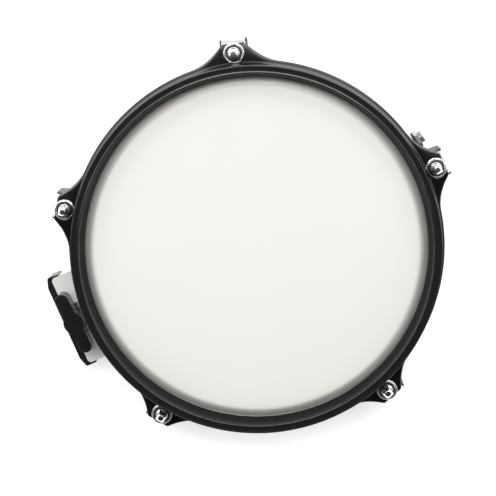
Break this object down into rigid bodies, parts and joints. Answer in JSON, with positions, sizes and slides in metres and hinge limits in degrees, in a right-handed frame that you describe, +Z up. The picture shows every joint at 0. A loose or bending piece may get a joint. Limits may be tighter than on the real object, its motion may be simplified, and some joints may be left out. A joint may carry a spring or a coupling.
{
  "type": "practice pad",
  "caption": "Round quiet practice pad: a woven head tensioned over a closed sensor shell by an eared hoop and key rods, with a wing-screw clamp for a stand rod.",
  "frame": {"origin": "centre of the non-slip mat's underside, on the head's axis", "axes": "+Z up through the head; +Y towards one ear; the rod clamp is at 196.75 degrees and the sensor socket at 27 degrees from +X"},
  "size_m": [0.3156, 0.2965, 0.0795],
  "materials": {
    "shell_white": "gloss white wrap over a moulded shell",
    "black_plastic": "fine moulded grain",
    "mat_rubber": "ribbed non-slip rubber",
    "zinc_steel": "bright zinc",
    "gloss_black": "gloss black powder coat",
    "rim_rubber": "matt moulded rubber",
    "head_weave": "fine white polyester weave, tensioned",
    "bare_aluminium": "satin",
    "brass": "turned",
    "gasket_rubber": "matt",
    "clamp_white": "satin white moulding",
    "satin_black": "satin black coat",
    "raw_steel": "plain steel",
    "knob_black": "fine moulded grain",
    "sensor_foam": "dense closed-cell foam",
    "chrome": "polished",
    "red_lead": "soft insulation",
    "black_lead": "soft insulation"
  },
  "bodies": {
    "pad": {"shell": "shell_white", "base_plate": "black_plastic", "base_mat": "mat_rubber", "base_screws": "zinc_steel", "hoop": "gloss_black", "rim_cover": "rim_rubber", "woven_head": "head_weave", "flesh_hoop": "bare_aluminium", "lug_nuts": "brass", "lug_gaskets": "gasket_rubber", "lug_screws": "zinc_steel", "clamp_box": "clamp_white", "clamp_gasket": "gasket_rubber", "clamp_box_screws": "zinc_steel", "clamp_plate": "satin_black", "clamp_plate_screws": "zinc_steel", "screw_collar": "raw_steel", "screw_collar_screws": "zinc_steel", "sensor_bar": "bare_aluminium", "sensor_posts": "brass", "sensor_bar_screws": "zinc_steel", "sensor_foam": "sensor_foam", "head_sensor": "brass", "trigger_cone": "sensor_foam", "rim_sensor": "brass", "jack_box": "chrome", "jack_bezel": "black_plastic", "output_jack": "zinc_steel", "jack_nut": "black_plastic", "head_sensor_lead": "red_lead", "rim_sensor_lead": "black_lead", "lug_1": "chrome", "lug_2": "chrome", "lug_3": "chrome", "lug_4": "chrome", "lug_5": "chrome"},
    "washer_1": {"rod_washer_1": "chrome"},
    "rod_1": {"tension_rod_1": "chrome"},
    "washer_2": {"rod_washer_2": "chrome"},
    "rod_2": {"tension_rod_2": "chrome"},
    "washer_3": {"rod_washer_3": "chrome"},
    "rod_3": {"tension_rod_3": "chrome"},
    "washer_4": {"rod_washer_4": "chrome"},
    "rod_4": {"tension_rod_4": "chrome"},
    "washer_5": {"rod_washer_5": "chrome"},
    "rod_5": {"tension_rod_5": "chrome"},
    "shoe": {"clamp_shoe": "bare_aluminium"},
    "wing": {"wing_screw": "raw_steel", "wing_knob": "knob_black"}
  },
  "joints": [
    {"name": "rod_1_lift", "type": "slide", "parent": "pad", "child": "washer_1", "axis": [0, 0, 1], "range_m": [0, 0.00212]},
    {"name": "rod_1_turn", "type": "hinge", "parent": "washer_1", "child": "rod_1", "pos_m": [0.13885, 0.04512, 0.05], "axis": [0, 0, 1], "range_deg": [0, 720]},
    {"name": "rod_2_lift", "type": "slide", "parent": "pad", "child": "washer_2", "axis": [0, 0, 1], "range_m": [0, 0.00212]},
    {"name": "rod_2_turn", "type": "hinge", "parent": "washer_2", "child": "rod_2", "pos_m": [0, 0.146, 0.05], "axis": [0, 0, 1], "range_deg": [0, 720]},
    {"name": "rod_3_lift", "type": "slide", "parent": "pad", "child": "washer_3", "axis": [0, 0, 1], "range_m": [0, 0.00212]},
    {"name": "rod_3_turn", "type": "hinge", "parent": "washer_3", "child": "rod_3", "pos_m": [-0.13885, 0.04512, 0.05], "axis": [0, 0, 1], "range_deg": [0, 720]},
    {"name": "rod_4_lift", "type": "slide", "parent": "pad", "child": "washer_4", "axis": [0, 0, 1], "range_m": [0, 0.00212]},
    {"name": "rod_4_turn", "type": "hinge", "parent": "washer_4", "child": "rod_4", "pos_m": [-0.08582, -0.11812, 0.05], "axis": [0, 0, 1], "range_deg": [0, 720]},
    {"name": "rod_5_lift", "type": "slide", "parent": "pad", "child": "washer_5", "axis": [0, 0, 1], "range_m": [0, 0.00212]},
    {"name": "rod_5_turn", "type": "hinge", "parent": "washer_5", "child": "rod_5", "pos_m": [0.08582, -0.11812, 0.05], "axis": [0, 0, 1], "range_deg": [0, 720]},
    {"name": "clamp_shoe_lift", "type": "slide", "parent": "pad", "child": "shoe", "axis": [0, 0, 1], "range_m": [0, 0.002]},
    {"name": "wing_knob_turn", "type": "hinge", "parent": "shoe", "child": "wing", "pos_m": [-0.14555, -0.04381, 0.03], "axis": [0, 0, 1], "range_deg": [0, 720]}
  ],
  "couplings": [
    {"joint": "rod_1_turn", "follows": "rod_1_lift", "rad_per_m": 5937.1},
    {"joint": "rod_2_turn", "follows": "rod_2_lift", "rad_per_m": 5937.1},
    {"joint": "rod_3_turn", "follows": "rod_3_lift", "rad_per_m": 5937.1},
    {"joint": "rod_4_turn", "follows": "rod_4_lift", "rad_per_m": 5937.1},
    {"joint": "rod_5_turn", "follows": "rod_5_lift", "rad_per_m": 5937.1},
    {"joint": "clamp_shoe_lift", "follows": "wing_knob_turn", "m_per_rad": 0.00015915}
  ]
}
